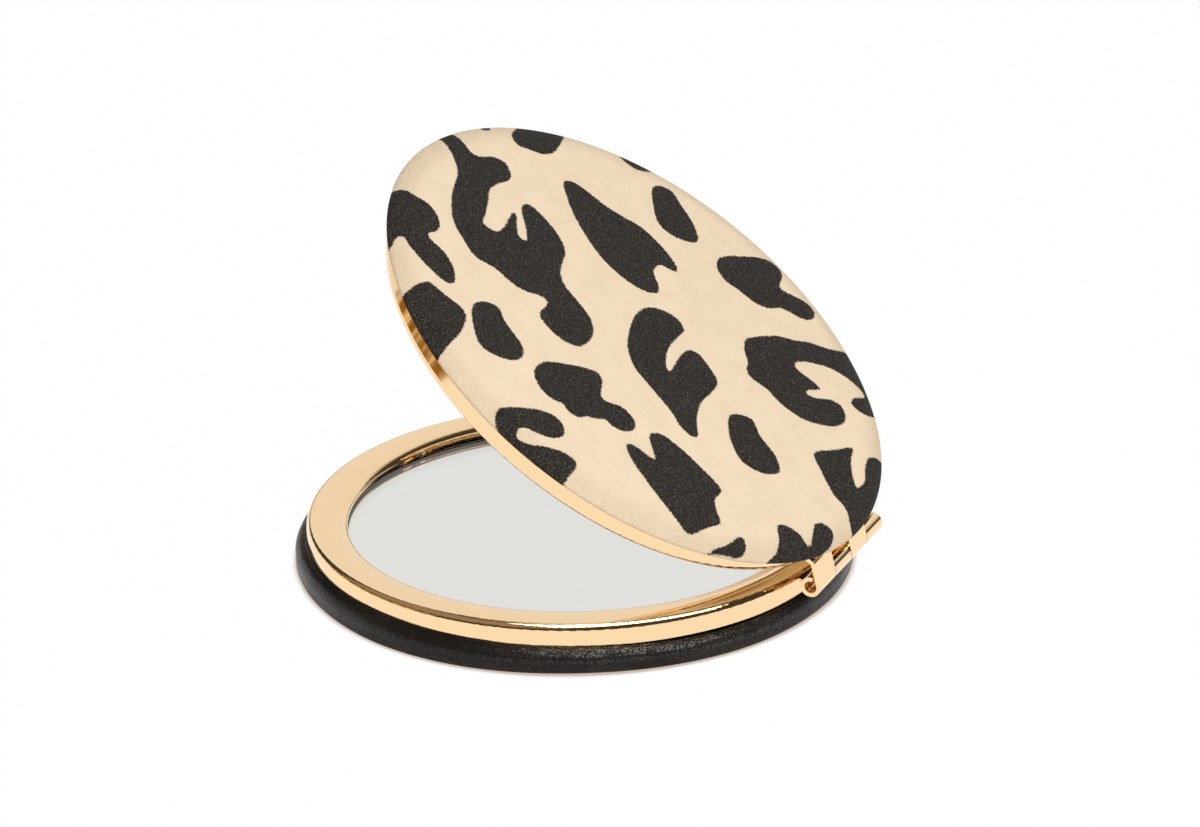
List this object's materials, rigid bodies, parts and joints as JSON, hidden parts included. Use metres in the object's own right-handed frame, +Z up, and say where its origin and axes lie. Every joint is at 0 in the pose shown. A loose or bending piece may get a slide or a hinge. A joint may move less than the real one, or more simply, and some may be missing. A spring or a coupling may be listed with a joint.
{
  "type": "compact mirror",
  "caption": "Round hinged compact mirror with gold metal frames, a padded animal-print fabric lid and a black leather base.",
  "frame": {"origin": "centre of the base's flat underside", "axes": "+Z up through the base, +Y towards the hinge, +X along the hinge pin"},
  "size_m": [0.07, 0.0721, 0.0505],
  "materials": {
    "black_leather": "satin",
    "printed_suede": "matte",
    "gold": "polished",
    "mirror_glass": "polished",
    "silvering": "polished",
    "foam": "matte",
    "foam_tape": "matte",
    "greyboard": "matte",
    "adhesive": "satin",
    "magnet": "satin"
  },
  "bodies": {
    "base": {"base_leather_cover": "black_leather", "base_padding": "foam", "base_board": "greyboard", "base_bond_ring": "adhesive", "base_frame": "gold", "base_hinge_leaf": "gold", "base_mirror_tape": "foam_tape", "base_mirror_silvering": "silvering", "base_mirror_glass": "mirror_glass", "base_magnet": "magnet", "hinge_pin": "gold"},
    "lid": {"lid_fabric_cover": "printed_suede", "lid_padding": "foam", "lid_board": "greyboard", "lid_bond_ring": "adhesive", "lid_frame": "gold", "lid_hinge_leaf": "gold", "lid_mirror_tape": "foam_tape", "lid_mirror_silvering": "silvering", "lid_mirror_glass": "mirror_glass", "lid_magnet": "magnet"}
  },
  "joints": [
    {"name": "lid_hinge", "type": "hinge", "parent": "base", "child": "lid", "pos_m": [0, 0.03535, 0.00595], "axis": [-1, 0, 0], "range_deg": [-36.4, 143.6]}
  ]
}
